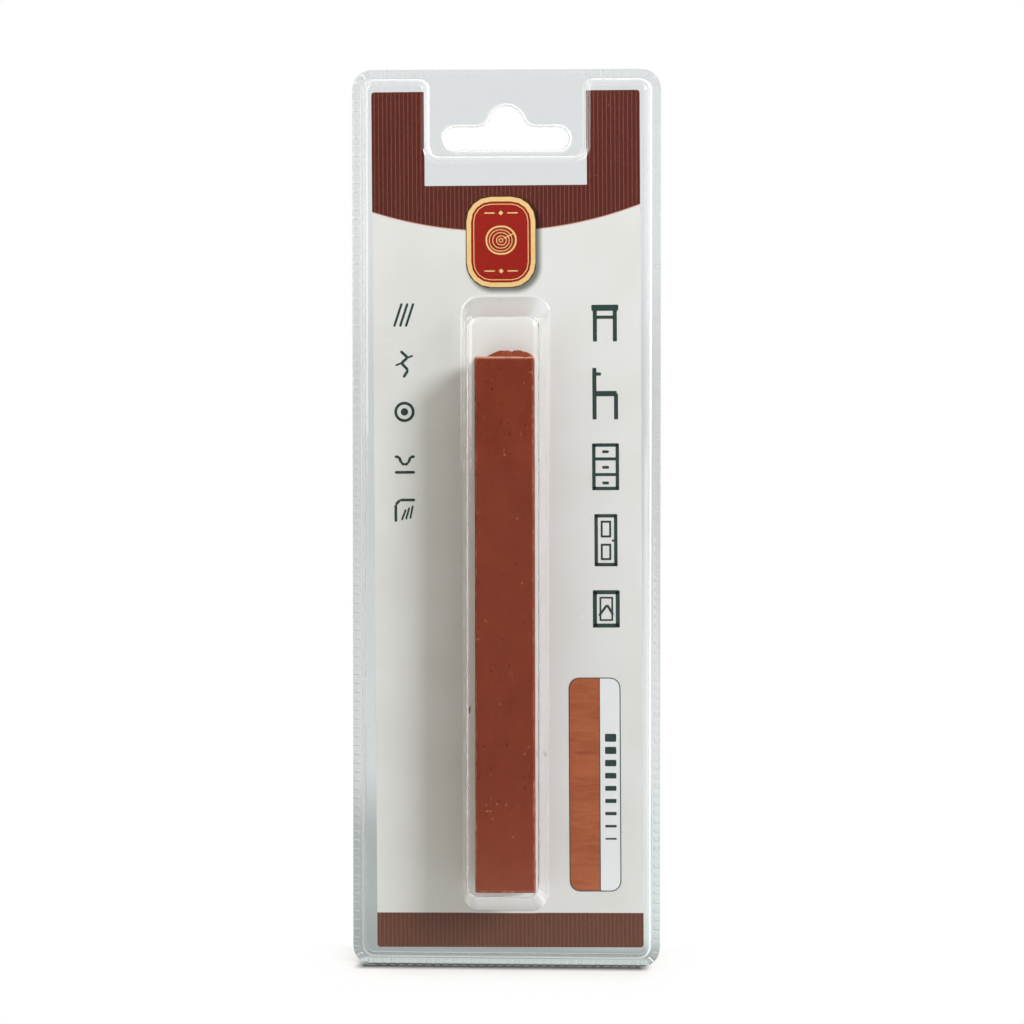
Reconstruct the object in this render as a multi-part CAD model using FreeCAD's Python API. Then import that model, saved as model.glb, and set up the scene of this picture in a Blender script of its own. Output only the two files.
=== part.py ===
import FreeCAD, Part
import math
import os

from FreeCAD import Vector

# Retouching wax stick in a clear blister pack that stands on its lower edge.
# Millimetres and degrees. X is to the right, Z is up and the front of the pack faces -Y.
# A feature's height is its distance in front of the weld plane, where the two films meet.
# A draft is the angle between a wall and the direction that it was drawn in.

# Pack outline and films
pack_width = 79.0
pack_height = 230.0
pack_corner_radius = 5.0
front_film = 0.4
back_film = 0.35

# Crimped weld along the edge
crimp_width = 1.9
crimp_pitch = 2.3
crimp_groove_width = 1.0
crimp_groove_depth = 0.12

# Stick
stick_width_bottom = 15.3
stick_width_top = 14.9
stick_depth = 14.3
stick_length = 135.9
stick_edge_round = 0.5
stick_shift = 0.5
stick_lean = 0.17

# Mounds of the stick's broken top end: place across, place from the back, half width and half depth as shares of
# the stick's own width and depth, and the rise as a share of break_rise
break_rise = 1.7
break_mounds = ((-0.045, 0.50, 0.225, 0.40, 1.0), (0.215, 0.55, 0.24, 0.36, 0.97))

# Card
card_thickness = 0.45
card_corner_radius = 0.8
card_notch_corner_radius = 0.2
card_shift = 0.4
card_lean = 0.35

# Hang hole, a slot with a round hump, and the rim formed round it
slot_width = 32.0
slot_height = 5.8
slot_drop = 20.5
hump_radius = 4.4
hump_rise = 5.4
hump_blend_radius = 3.4
rim_width = 0.9
rim_height = 0.4

# Raised tray that holds the card, with a notch round the hang hole
tray_draft = 33.0
tray_corner_radius = 3.6
tray_inner_round = 0.3
notch_floor_radius = 2.2
notch_mouth_radius = 3.0

# Raised pocket that holds the stick
pocket_bottom = 20.0
pocket_side_draft = 8.6
pocket_end_draft = 22.0
pocket_foot_radius = 4.5
pocket_face_radius = 3.0
pocket_inner_round = 1.4
pocket_foot_round = 0.8

# Flakes of wax against the pocket's side walls: side, level above the pocket's bottom, height
crumb_size = 0.7
crumb_corners = ((0, 0), (0.7, 1.6), (0.8, -0.9))
crumb_thickness = 0.8
crumbs = ((-1, 46.0, 4.5), (1, 34.8, 3.6))

# Clearances
tray_border_gap = 0.1
tray_headroom = 1.6
card_back_gap = 0.15
card_side_gap = 3.2
card_bottom_gap = 3.0
card_top_gap = 3.5
card_notch_side_gap = 1.35
card_notch_floor_gap = 7.8
notch_side_gap = 2.5
notch_floor_gap = 0.3
stick_back_gap = 0.3
stick_front_gap = 0.6
stick_side_gap = 0.95
stick_rest_gap = 0.9
stick_headroom = 9.9
crumb_gap = 0.12
cut_overlap = 0.5
same_place = 1e-4


def run(height, draft):
    """How far a wall moves sideways over a height."""
    return height * math.tan(math.radians(draft))


def film_across(draft):
    """The front film's thickness, measured level through a wall."""
    return front_film / math.cos(math.radians(draft))


# Heights, from the weld plane outwards
card_front = card_back_gap + card_thickness
tray_height = card_front + tray_headroom + front_film
stick_back = card_front + stick_back_gap
pocket_height = stick_back + stick_depth + stick_front_gap + front_film
pocket_rise = pocket_height - tray_height
weld_y = (pocket_height - back_film) / 2

# Places in the front view
tray_border = crimp_width + tray_border_gap
slot_floor = pack_height - slot_drop
notch_width = slot_width + 2 * (rim_width + notch_side_gap)
notch_floor = slot_floor - rim_width - notch_floor_gap
stick_bottom = pocket_bottom + stick_rest_gap
stick_top = stick_bottom + stick_length
pocket_top = stick_top + stick_headroom
pocket_width = stick_width_bottom + 2 * (stick_side_gap + film_across(pocket_side_draft))
card_width = pack_width - 2 * (tray_border + card_side_gap)
card_bottom = tray_border + card_bottom_gap
card_top = pack_height - tray_border - card_top_gap
card_notch_width = notch_width + 2 * card_notch_side_gap
card_notch_floor = notch_floor - card_notch_floor_gap


def at(x, z, height):
    """A point given by its place in the front view and its height."""
    return Vector(x, weld_y - height, z)


def rounded_wire(corners, height):
    """A closed wire through (x, z, radius) corners, taken in order, each rounded with an arc."""
    starts = []
    middles = []
    ends = []
    for index, (x, z, radius) in enumerate(corners):
        before = corners[index - 1]
        after = corners[(index + 1) % len(corners)]
        back = Vector(before[0] - x, 0, before[1] - z).normalize()
        ahead = Vector(after[0] - x, 0, after[1] - z).normalize()
        half_angle = back.getAngle(ahead) / 2
        reach = radius / math.tan(half_angle)
        inward = (back + ahead).normalize() * (radius / math.sin(half_angle) - radius)
        starts.append(at(x + back.x * reach, z + back.z * reach, height))
        middles.append(at(x + inward.x, z + inward.z, height))
        ends.append(at(x + ahead.x * reach, z + ahead.z * reach, height))
    edges = []
    for index, end in enumerate(ends):
        next_start = starts[(index + 1) % len(corners)]
        edges.append(Part.Arc(starts[index], middles[index], end).toShape())
        edges.append(Part.LineSegment(end, next_start).toShape())
    return Part.Wire(edges)


def rectangle(width, bottom, top, radius):
    half = width / 2
    return [(-half, bottom, radius), (half, bottom, radius), (half, top, radius), (-half, top, radius)]


def notched_rectangle(width, bottom, top, radius, notch, floor, floor_radius, mouth_radius):
    """A rectangle with a notch in the middle of its top side."""
    right_arm = [
        (width / 2, top, radius),
        (notch / 2, top, mouth_radius),
        (notch / 2, floor, floor_radius),
    ]
    left_arm = [(-x, z, corner) for x, z, corner in reversed(right_arm)]
    return [(-width / 2, bottom, radius), (width / 2, bottom, radius)] + right_arm + left_arm


def plate(wire, thickness):
    """A flat plate that rises from a wire towards the front."""
    return Part.Face(wire).extrude(Vector(0, -thickness, 0))


def pack_wire(height):
    return rounded_wire(rectangle(pack_width, 0, pack_height, pack_corner_radius), height)


def tray_wire(height, offset):
    """The tray's outline at a height, drawn in by an offset: its notch grows as its sides move in."""
    inset = run(height, tray_draft) + offset
    corners = notched_rectangle(
        pack_width - 2 * (tray_border + inset),
        tray_border + inset,
        pack_height - tray_border - inset,
        tray_corner_radius - inset,
        notch_width + 2 * inset,
        notch_floor - inset,
        notch_floor_radius + inset,
        notch_mouth_radius - inset,
    )
    return rounded_wire(corners, height)


def tray_body(top, offset):
    return Part.makeLoft([tray_wire(0, offset), tray_wire(top, offset)], True, True)


def pocket_wire(height, side_offset, end_offset, round_offset):
    """The pocket's outline at a height, drawn in by an offset at its sides and another at its ends."""
    below_face = pocket_height - height
    side = run(below_face, pocket_side_draft) - side_offset
    end = run(below_face, pocket_end_draft) - end_offset
    share = below_face / pocket_rise
    radius = pocket_face_radius + (pocket_foot_radius - pocket_face_radius) * share - round_offset
    corners = rectangle(pocket_width + 2 * side, pocket_bottom - end, pocket_top + end, radius)
    return rounded_wire(corners, height)


def pocket_body(low, high, inside):
    """The pocket as a block between two heights, either its outside or the space inside its film."""
    offsets = (0, 0, 0)
    if inside:
        offsets = (film_across(pocket_side_draft), film_across(pocket_end_draft), front_film)
    return Part.makeLoft([pocket_wire(low, *offsets), pocket_wire(high, *offsets)], True, True)


def edges_at(shape, height):
    """The edges that lie flat at one height."""
    y = weld_y - height
    boxes = [(edge, edge.BoundBox) for edge in shape.Edges]
    return [edge for edge, box in boxes if abs(box.YMin - y) < same_place and abs(box.YMax - y) < same_place]


def round_at(shape, height, pocket_radius, tray_radius):
    """Rounds the flat edges at one height, with one radius round the pocket's foot and one elsewhere."""
    reach = pocket_width / 2 + run(pocket_rise, pocket_side_draft) + front_film
    foot = []
    rest = []
    for edge in edges_at(shape, height):
        box = edge.BoundBox
        beside_pocket = box.XMin > -reach and box.XMax < reach
        under_notch = box.ZMax < notch_floor - front_film
        above_base = box.ZMin > tray_border + card_bottom_gap
        if beside_pocket and under_notch and above_base:
            foot.append(edge)
        else:
            rest.append(edge)
    for radius, edges in ((pocket_radius, foot), (tray_radius, rest)):
        places = [edge.CenterOfMass for edge in edges]
        matches = [
            edge
            for edge in shape.Edges
            if any(edge.CenterOfMass.isEqual(place, same_place) for place in places)
        ]
        shape = shape.makeFillet(radius, matches)
    return shape


def hang_wire(grow, height):
    """The hang hole's outline, grown by an offset: a slot with round ends and a blended hump."""
    end_x = (slot_width - slot_height) / 2
    end_radius = slot_height / 2 + grow
    middle = slot_floor + slot_height / 2
    bottom = slot_floor - grow
    shoulder = slot_floor + slot_height + grow
    hump_z = slot_floor + slot_height + hump_rise - hump_radius
    hump = hump_radius + grow
    blend_z = slot_floor + slot_height + hump_blend_radius
    blend = hump_blend_radius - grow
    spacing = hump_radius + hump_blend_radius
    slope = math.asin((blend_z - hump_z) / spacing)
    blend_x = spacing * math.cos(slope)
    meet_x = hump * math.cos(slope)
    meet_z = hump_z + hump * math.sin(slope)
    half_way = (slope + math.pi + 1.5 * math.pi) / 2
    blend_mid_x = blend_x + blend * math.cos(half_way)
    blend_mid_z = blend_z + blend * math.sin(half_way)

    def arc(start, middle_point, end):
        return Part.Arc(at(*start, height), at(*middle_point, height), at(*end, height)).toShape()

    def line(start, end):
        return Part.LineSegment(at(*start, height), at(*end, height)).toShape()

    edges = [line((-end_x, bottom), (end_x, bottom))]
    for side in (1, -1):
        edges.append(arc(
            (side * end_x, bottom), (side * (end_x + end_radius), middle), (side * end_x, shoulder)))
        edges.append(line((side * end_x, shoulder), (side * blend_x, shoulder)))
        edges.append(arc(
            (side * blend_x, shoulder), (side * blend_mid_x, blend_mid_z), (side * meet_x, meet_z)))
    edges.append(arc((meet_x, meet_z), (0, hump_z + hump), (-meet_x, meet_z)))
    return Part.Wire(Part.__sortEdges__(edges))


def hang_cutter():
    low = -back_film - cut_overlap
    high = front_film + rim_height + cut_overlap
    return plate(hang_wire(0, low), high - low)


def spread(length):
    """Evenly spaced places along a length, measured from its middle."""
    count = max(1, round(length / crimp_pitch))
    return [length * ((index + 0.5) / count - 0.5) for index in range(count)]


def crimp_places():
    """Where each groove meets the pack's edge, and the direction, in degrees, that it runs inwards in."""
    half_width = pack_width / 2
    half_height = pack_height / 2
    radius = pack_corner_radius
    places = []
    for offset in spread(pack_height - 2 * radius):
        places.append((-half_width, half_height + offset, 0))
        places.append((half_width, half_height + offset, 180))
    for offset in spread(pack_width - 2 * radius):
        places.append((offset, 0, 90))
        places.append((offset, pack_height, 270))
    for diagonal in (45, 135, 225, 315):
        side_x = math.copysign(half_width - radius, math.cos(math.radians(diagonal)))
        side_z = math.copysign(half_height - radius, math.sin(math.radians(diagonal)))
        for offset in spread(radius * math.pi / 2):
            angle = math.radians(diagonal) + offset / radius
            x = side_x + radius * math.cos(angle)
            z = half_height + side_z + radius * math.sin(angle)
            places.append((x, z, math.degrees(angle) + 180))
    return places


def crimp_grooves(low, high):
    """All the grooves of the weld between two heights, as one compound."""
    grooves = []
    for x, z, direction in crimp_places():
        groove = Part.makeBox(crimp_width + cut_overlap, high - low, crimp_groove_width)
        groove.translate(Vector(-cut_overlap, weld_y - high, -crimp_groove_width / 2))
        groove.rotate(Vector(0, 0, 0), Vector(0, 1, 0), -direction)
        groove.translate(Vector(x, 0, z))
        grooves.append(groove)
    return Part.makeCompound(grooves)


def front_shell():
    """Front film: border, tray and pocket of one even thickness, with the hang hole and its rim."""
    border = plate(pack_wire(0), front_film)
    outside = border.fuse([tray_body(tray_height, 0), pocket_body(tray_height, pocket_height, False)])
    outside = outside.removeSplitter()
    outside = outside.makeFillet(pocket_inner_round + front_film, edges_at(outside, pocket_height))
    outside = round_at(outside, tray_height, pocket_foot_round, tray_inner_round + front_film)

    tray_ceiling = tray_height - front_film
    pocket_ceiling = pocket_height - front_film
    tray_space = tray_body(tray_ceiling, film_across(tray_draft))
    inside = tray_space.fuse(pocket_body(tray_ceiling, pocket_ceiling, True)).removeSplitter()
    inside = inside.makeFillet(pocket_inner_round, edges_at(inside, pocket_ceiling))
    inside = round_at(inside, tray_ceiling, pocket_foot_round + front_film, tray_inner_round)

    rim = plate(hang_wire(rim_width, 0), front_film + rim_height)
    shell = outside.cut(inside).fuse(rim).cut(hang_cutter())
    return shell.cut(crimp_grooves(front_film - crimp_groove_depth, front_film + cut_overlap))


def back_shell():
    """Back film: a flat sheet with the same edge, weld and hang hole."""
    sheet = plate(pack_wire(-back_film), back_film).cut(hang_cutter())
    return sheet.cut(crimp_grooves(-back_film - cut_overlap, crimp_groove_depth - back_film))


def lean(shape, degrees, level):
    """Turns a shape in the plane of the pack about a level, so that its top goes to the left."""
    shape.rotate(Vector(0, 0, level), Vector(0, 1, 0), -degrees)
    return shape


def printed_card():
    corners = notched_rectangle(
        card_width,
        card_bottom,
        card_top,
        card_corner_radius,
        card_notch_width,
        card_notch_floor,
        card_notch_corner_radius,
        card_notch_corner_radius,
    )
    card = plate(rounded_wire(corners, card_back_gap), card_thickness)
    card.translate(Vector(card_shift, 0, 0))
    return lean(card, card_lean, (card_bottom + card_top) / 2)


def stick_section(width, level):
    back = weld_y - stick_back
    front = back - stick_depth
    sides = ((-1, back), (-1, front), (1, front), (1, back), (-1, back))
    return Part.makePolygon([Vector(side * width / 2, y, level) for side, y in sides])


def break_mound(across, depth, half_width, half_depth, rise):
    """One mound of the rough broken end, a low ellipsoid, from its shares of the stick's sizes."""
    stretch = FreeCAD.Matrix()
    stretch.scale(half_width * stick_width_top, half_depth * stick_depth, rise * break_rise)
    mound = Part.makeSphere(1.0).transformGeometry(stretch)
    mound.translate(Vector(across * stick_width_top, weld_y - stick_back - depth * stick_depth, stick_top))
    return mound


def wax_stick():
    """Tapered square stick with rounded edges and a broken, humped top end."""
    sections = [stick_section(stick_width_bottom, stick_bottom), stick_section(stick_width_top, stick_top)]
    block = Part.makeLoft(sections, True, True)
    uprights = [edge for edge in block.Edges if edge.BoundBox.ZLength > stick_length / 2]
    foot = [edge for edge in block.Edges if edge.BoundBox.ZMax < stick_bottom + stick_edge_round / 2]
    block = block.makeFillet(stick_edge_round, uprights + foot)
    stick = block.fuse([break_mound(*shares) for shares in break_mounds])
    stick.translate(Vector(stick_shift, 0, 0))
    return lean(stick, stick_lean, (stick_bottom + stick_top) / 2)


def wax_crumbs():
    """Small three-sided flakes that lie just off the inner face of the pocket's side walls."""
    flakes = []
    for side, level, height in crumbs:
        wall_run = run(pocket_height - height, pocket_side_draft)
        wall = pocket_width / 2 + wall_run - film_across(pocket_side_draft)
        near = wall - crumb_gap - crumb_size
        z = pocket_bottom + level
        corners = [at(side * (near + x * crumb_size), z + rise * crumb_size, height) for x, rise in crumb_corners]
        flake = Part.Face(Part.makePolygon(corners + corners[:1]))
        flakes.append(flake.extrude(Vector(0, crumb_thickness * crumb_size, 0)))
    return Part.makeCompound(flakes)


nodes = {
    "front_shell": front_shell,
    "back_shell": back_shell,
    "printed_card": printed_card,
    "wax_stick": wax_stick,
    "wax_crumbs": wax_crumbs,
}

os.makedirs("parts", exist_ok=True)
for name, make in nodes.items():
    shape = make()
    shape.exportStep("parts/" + name + ".step")
    print(name, "solids", len(shape.Solids), "valid", shape.isValid(), "volume", round(shape.Volume, 1))
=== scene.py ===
import math
import random
from functools import partial

import bmesh
import bpy
from mathutils import Matrix, Vector, noise


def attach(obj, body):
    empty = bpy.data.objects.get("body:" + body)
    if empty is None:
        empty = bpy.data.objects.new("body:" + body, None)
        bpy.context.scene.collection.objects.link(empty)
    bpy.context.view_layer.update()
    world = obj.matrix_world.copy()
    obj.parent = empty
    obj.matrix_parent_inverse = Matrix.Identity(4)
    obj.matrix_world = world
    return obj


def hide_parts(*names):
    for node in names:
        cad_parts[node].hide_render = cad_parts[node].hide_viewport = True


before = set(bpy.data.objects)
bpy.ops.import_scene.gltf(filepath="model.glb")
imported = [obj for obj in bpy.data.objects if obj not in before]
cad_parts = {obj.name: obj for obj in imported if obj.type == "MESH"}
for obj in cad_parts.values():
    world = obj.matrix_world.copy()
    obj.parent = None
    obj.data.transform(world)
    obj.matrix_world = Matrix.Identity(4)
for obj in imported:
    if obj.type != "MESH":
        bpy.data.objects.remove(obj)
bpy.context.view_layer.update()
print("frame loaded")

# Meshes are drawn in millimetres and scaled to metres when a piece is finished.
# A height is measured from the weld plane towards the front, which faces -Y.
weldY = 7.925
millimetre = 0.001
plainWhite = (1.0, 1.0, 1.0, 1.0)


def colour(red, green, blue):
    # a colour from its 0 to 255 values on screen
    return tuple(((c / 255 + 0.055) / 1.055) ** 2.4 if c > 10 else c / 255 / 12.92 for c in (red, green, blue)) + (1.0,)


def asShare(value):
    return min(1.0, max(0.0, value))


def at(x, z, height):
    return Vector((x, weldY - height, z))


def rectangle(left, right, bottom, top, radius):
    return [(left, bottom, radius), (right, bottom, radius), (right, top, radius), (left, top, radius)]


def outlineFace(bm, corners, height, arcSteps):
    # one face through (x, z, radius) corners, each corner rounded
    old = set(bm.faces)
    verts = [bm.verts.new(at(x, z, height)) for x, z, _ in corners]
    bm.faces.new(verts)
    for index, (vert, (x, z, radius)) in enumerate(zip(verts, corners)):
        if radius > 0:
            back = Vector(corners[index - 1][:2]) - Vector((x, z))
            ahead = Vector(corners[(index + 1) % len(corners)][:2]) - Vector((x, z))
            reach = radius / math.tan(back.angle(ahead) / 2)
            bmesh.ops.bevel(bm, geom=[vert], offset=reach, offset_type="OFFSET", segments=arcSteps, profile=0.5,
                            affect="VERTICES", material=-1, clamp_overlap=False)
    face = next(f for f in bm.faces if f not in old)
    bmesh.ops.remove_doubles(bm, verts=face.verts[:], dist=1e-4)
    return next(f for f in bm.faces if f not in old)


def stepIn(bm, face, profile):
    # rings that follow a profile of (inset, height) points
    for (inset, height), (nextInset, nextHeight) in zip(profile, profile[1:]):
        bmesh.ops.inset_region(bm, faces=[face], use_boundary=True, use_even_offset=True,
                               thickness=nextInset - inset, depth=nextHeight - height)
    return face


def roundedProfile(points, radii, steps):
    # a profile whose inner corners are replaced by arcs
    path = [Vector(points[0])]
    for before, corner, after, radius in zip(points, points[1:], points[2:], radii):
        corner = Vector(corner)
        inDirection = (corner - Vector(before)).normalized()
        outDirection = (Vector(after) - corner).normalized()
        turn = inDirection.angle(outDirection)
        reach = radius * math.tan(turn / 2)
        sign = 1 if inDirection.cross(outDirection) > 0 else -1
        start = corner - inDirection * reach
        centre = start + Vector((-inDirection.y, inDirection.x)) * radius * sign
        arm = start - centre
        for step in range(steps + 1):
            spun = arm.copy()
            spun.rotate(Matrix.Rotation(sign * turn * step / steps, 2))
            path.append(centre + spun)
    path.append(Vector(points[-1]))
    return [tuple(p) for p in path]


def dropFace(bm, face):
    # takes a face away and gives back the edges round the gap
    edges = face.edges[:]
    bmesh.ops.delete(bm, geom=[face], context="FACES_ONLY")
    return edges


def openEdges(bm, oldFaces):
    # the free edges of the faces made since
    return [edge for edge in bm.edges if len(edge.link_faces) == 1 and edge.link_faces[0] not in oldFaces]


def fillBetween(bm, *loops):
    bmesh.ops.triangle_fill(bm, use_beauty=True, use_dissolve=False, edges=[edge for loop in loops for edge in loop],
                            normal=(0, -1, 0))


def addObject(name, data):
    thing = bpy.data.objects.new(name, data)
    bpy.context.scene.collection.objects.link(thing)
    return thing


def meshObject(name, bm, material):
    mesh = bpy.data.meshes.new(name)
    bm.to_mesh(mesh)
    bm.free()
    mesh.materials.append(material)
    return addObject(name, mesh)


def finishPiece(name, bm, material, body, sharpAngle=35.0, faceFront=False):
    bmesh.ops.remove_doubles(bm, verts=bm.verts[:], dist=1e-4)
    bmesh.ops.recalc_face_normals(bm, faces=bm.faces[:])
    if faceFront and sum(f.normal.y * f.calc_area() for f in bm.faces) > 0:
        bmesh.ops.reverse_faces(bm, faces=bm.faces[:])
    bmesh.ops.scale(bm, vec=(millimetre,) * 3, verts=bm.verts[:])
    limit = math.radians(sharpAngle)
    for face in bm.faces:
        face.smooth = True
    for edge in bm.edges:
        edge.smooth = len(edge.link_faces) == 2 and edge.calc_face_angle(0) < limit
    piece = meshObject(name, bm, material)
    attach(piece, body)
    return piece


def turnUpright(bm, verts, degrees, centre):
    # turns verts in the plane that faces the camera
    bmesh.ops.rotate(bm, verts=verts, cent=centre, matrix=Matrix.Rotation(math.radians(degrees), 3, "Y"))


def addModifier(piece, kind, **settings):
    modifier = piece.modifiers.new(kind.title(), kind)
    for key, value in settings.items():
        setattr(modifier, key, value)
    return modifier


# Shader tools

def addNode(tree, kind, inputs=None, **settings):
    node = tree.nodes.new("ShaderNode" + kind)
    for key, value in settings.items():
        setattr(node, key, value)
    for key, value in (inputs or {}).items():
        if isinstance(value, bpy.types.NodeSocket):
            tree.links.new(value, node.inputs[key])
        else:
            node.inputs[key].default_value = value
    return node


def nodeFrom(kind, inputs, **settings):
    # adds a node to the tree that its linked inputs come from, and gives its outputs
    tree = next(value.id_data for value in inputs.values() if isinstance(value, bpy.types.NodeSocket))
    return addNode(tree, kind, inputs, **settings).outputs


def maths(operation, a, b=0.0, clamp=False):
    return nodeFrom("Math", {0: a, 1: b, 2: 0.0}, operation=operation, use_clamp=clamp)[0]


times, plus, minus, larger = (partial(maths, kind) for kind in ("MULTIPLY", "ADD", "SUBTRACT", "MAXIMUM"))


def vectorMaths(operation, output, *values):
    return nodeFrom("VectorMath", dict(enumerate(values)), operation=operation)[output]


def ramp(value, fromLow, fromHigh, toLow=0.0, toHigh=1.0, smooth=True):
    limits = {"From Min": fromLow, "From Max": fromHigh, "To Min": toLow, "To Max": toHigh}
    return nodeFrom("MapRange", {"Value": value, **limits},
                    interpolation_type="SMOOTHSTEP" if smooth else "LINEAR")["Result"]


def blendColour(share, a, b, mode="MIX"):
    return nodeFrom("Mix", {0: share, 6: a, 7: b}, data_type="RGBA", blend_type=mode)[2]


def blendValue(share, a, b):
    return nodeFrom("Mix", {0: share, 2: a, 3: b}, data_type="FLOAT")[0]


def mixShaders(share, a, b):
    return nodeFrom("MixShader", {0: share, 1: a, 2: b})[0]


def splitUp(vector):
    return nodeFrom("SeparateXYZ", {0: vector})


def joinUp(x, y):
    return nodeFrom("CombineXYZ", {"X": x, "Y": y})[0]


def mapped(vector, **settings):
    return nodeFrom("Mapping", {"Vector": vector, **settings}, vector_type="POINT")[0]


def cloudNoise(vector, scale, detail, output="Fac", roughness=0.5):
    inputs = {"Vector": vector, "Scale": scale, "Detail": detail, "Roughness": roughness}
    return nodeFrom("TexNoise", inputs)[output]


def useGroup(effect, **inputs):
    return nodeFrom("Group", {key.replace("_", " "): value for key, value in inputs.items()}, node_tree=effect)


def feed(shader, **values):
    for key, value in values.items():
        shader.id_data.links.new(value, shader.inputs[key.replace("_", " ")])


def addBump(shader, height, strength, distance):
    feed(shader, Normal=nodeFrom("Bump", {"Height": height, "Strength": strength, "Distance": distance})[0])


def useSurface(tree, surface):
    output = next(n for n in tree.nodes if n.type == "OUTPUT_MATERIAL")
    tree.links.new(surface, output.inputs["Surface"])


def newMaterial(name, **principled):
    material = bpy.data.materials.new(name)
    material.use_nodes = True
    tree = material.node_tree
    shader = tree.nodes["Principled BSDF"] if "Principled BSDF" in tree.nodes else addNode(tree, "BsdfPrincipled")
    useSurface(tree, shader.outputs[0])
    for key, value in principled.items():
        shader.inputs[key.replace("_", " ")].default_value = value
    return material, tree, shader


def objectMillimetres(tree, lean=0.0, centre=(0.0, 0.0, 0.0)):
    # Object coordinates in millimetres, measured from a centre and turned back by a lean
    place = addNode(tree, "TexCoord").outputs["Object"]
    upright = mapped(place, Location=[-c for c in centre], Scale=(1 / millimetre,) * 3)
    return mapped(upright, Rotation=(0, math.radians(lean), 0))


def startGroup(name, inputs, outputs):
    group = bpy.data.node_groups.new(name, "ShaderNodeTree")
    for label, kind, value in inputs:
        socket = group.interface.new_socket(name=label, in_out="INPUT", socket_type="NodeSocket" + kind)
        if value is not None:
            socket.default_value = value
    for label in outputs:
        group.interface.new_socket(name=label, in_out="OUTPUT", socket_type="NodeSocketFloat")
    return group, group.nodes.new("NodeGroupInput").outputs, group.nodes.new("NodeGroupOutput").inputs


def makeMottle():
    # broad clouds and fine grain, both from 0 to 1
    group, given, result = startGroup("mottle", [("Vector", "Vector", None), ("Broad Scale", "Float", 0.1),
                                                 ("Fine Scale", "Float", 2.0)], ["Broad", "Fine"])
    broad = cloudNoise(given["Vector"], given["Broad Scale"], 3.0)
    fine = cloudNoise(given["Vector"], given["Fine Scale"], 4.0, roughness=0.65)
    group.links.new(ramp(broad, 0.3, 0.7, smooth=False), result["Broad"])
    group.links.new(ramp(fine, 0.25, 0.75, smooth=False), result["Fine"])
    return group


def makeSpecks():
    # scattered grains: a share of the cells holds one, each of its own size
    group, given, result = startGroup("specks", [("Vector", "Vector", None), ("Scale", "Float", 1.0),
                                                 ("Share", "Float", 0.1), ("Size", "Float", 0.2)], ["Mask", "Tone"])
    cell = nodeFrom("TexVoronoi", {"Vector": given["Vector"], "Scale": given["Scale"]})
    dice = nodeFrom("SeparateColor", {0: cell["Color"]})
    near = ramp(cell["Distance"], times(given["Size"], plus(dice["Green"], 0.35)), 0.0)
    picked = maths("LESS_THAN", dice["Red"], given["Share"])
    group.links.new(times(times(near, 1.6, clamp=True), picked), result["Mask"])
    group.links.new(dice["Blue"], result["Tone"])
    return group


def makeHairlines():
    # sparse thin scratches that wander across the surface
    group, given, result = startGroup("hairlines", [("Vector", "Vector", None), ("Scale", "Float", 0.2),
                                                    ("Share", "Float", 0.3), ("Width", "Float", 0.006)], ["Mask"])
    path = cloudNoise(given["Vector"], given["Scale"], 1.5)
    thin = ramp(maths("ABSOLUTE", minus(path, 0.5)), given["Width"], 0.0, smooth=False)
    patch = cloudNoise(given["Vector"], times(given["Scale"], 2.7), 2.0)
    limit = minus(0.72, times(given["Share"], 0.3))
    here = ramp(patch, limit, plus(limit, 0.06), smooth=False)
    group.links.new(times(thin, here), result["Mask"])
    return group


mottle = makeMottle()
specks = makeSpecks()
hairlines = makeHairlines()


# Camera

cameraSettings = {
    # degrees to the right of straight ahead, degrees above level, and distance from the target
    "place": (3.4, 2.2, 1.0), "target": (0.00192, 0.0, 0.1173),
    "focalShare": 3932 / 1024,  # focal length over the picture's width
}


def aimFrom(thing, turn, rise, distance, target):
    # sets a thing at a distance from its target, turned and raised by degrees, and aims it
    turn, rise = math.radians(turn), math.radians(rise)
    back = Vector((math.sin(turn) * math.cos(rise), -math.cos(turn) * math.cos(rise), math.sin(rise)))
    thing.location = Vector(target) + back * distance
    thing.rotation_euler = (-back).to_track_quat("-Z", "Y").to_euler()
    return thing


def makeCamera(settings):
    data = bpy.data.cameras.new("camera")
    data.sensor_width = 36
    data.lens = settings["focalShare"] * data.sensor_width
    data.clip_start, data.clip_end = 0.05, 50
    bpy.context.scene.camera = aimFrom(addObject("camera", data), *settings["place"], settings["target"])


makeCamera(cameraSettings)
print("camera placed")


# Light, floor and background

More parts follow.
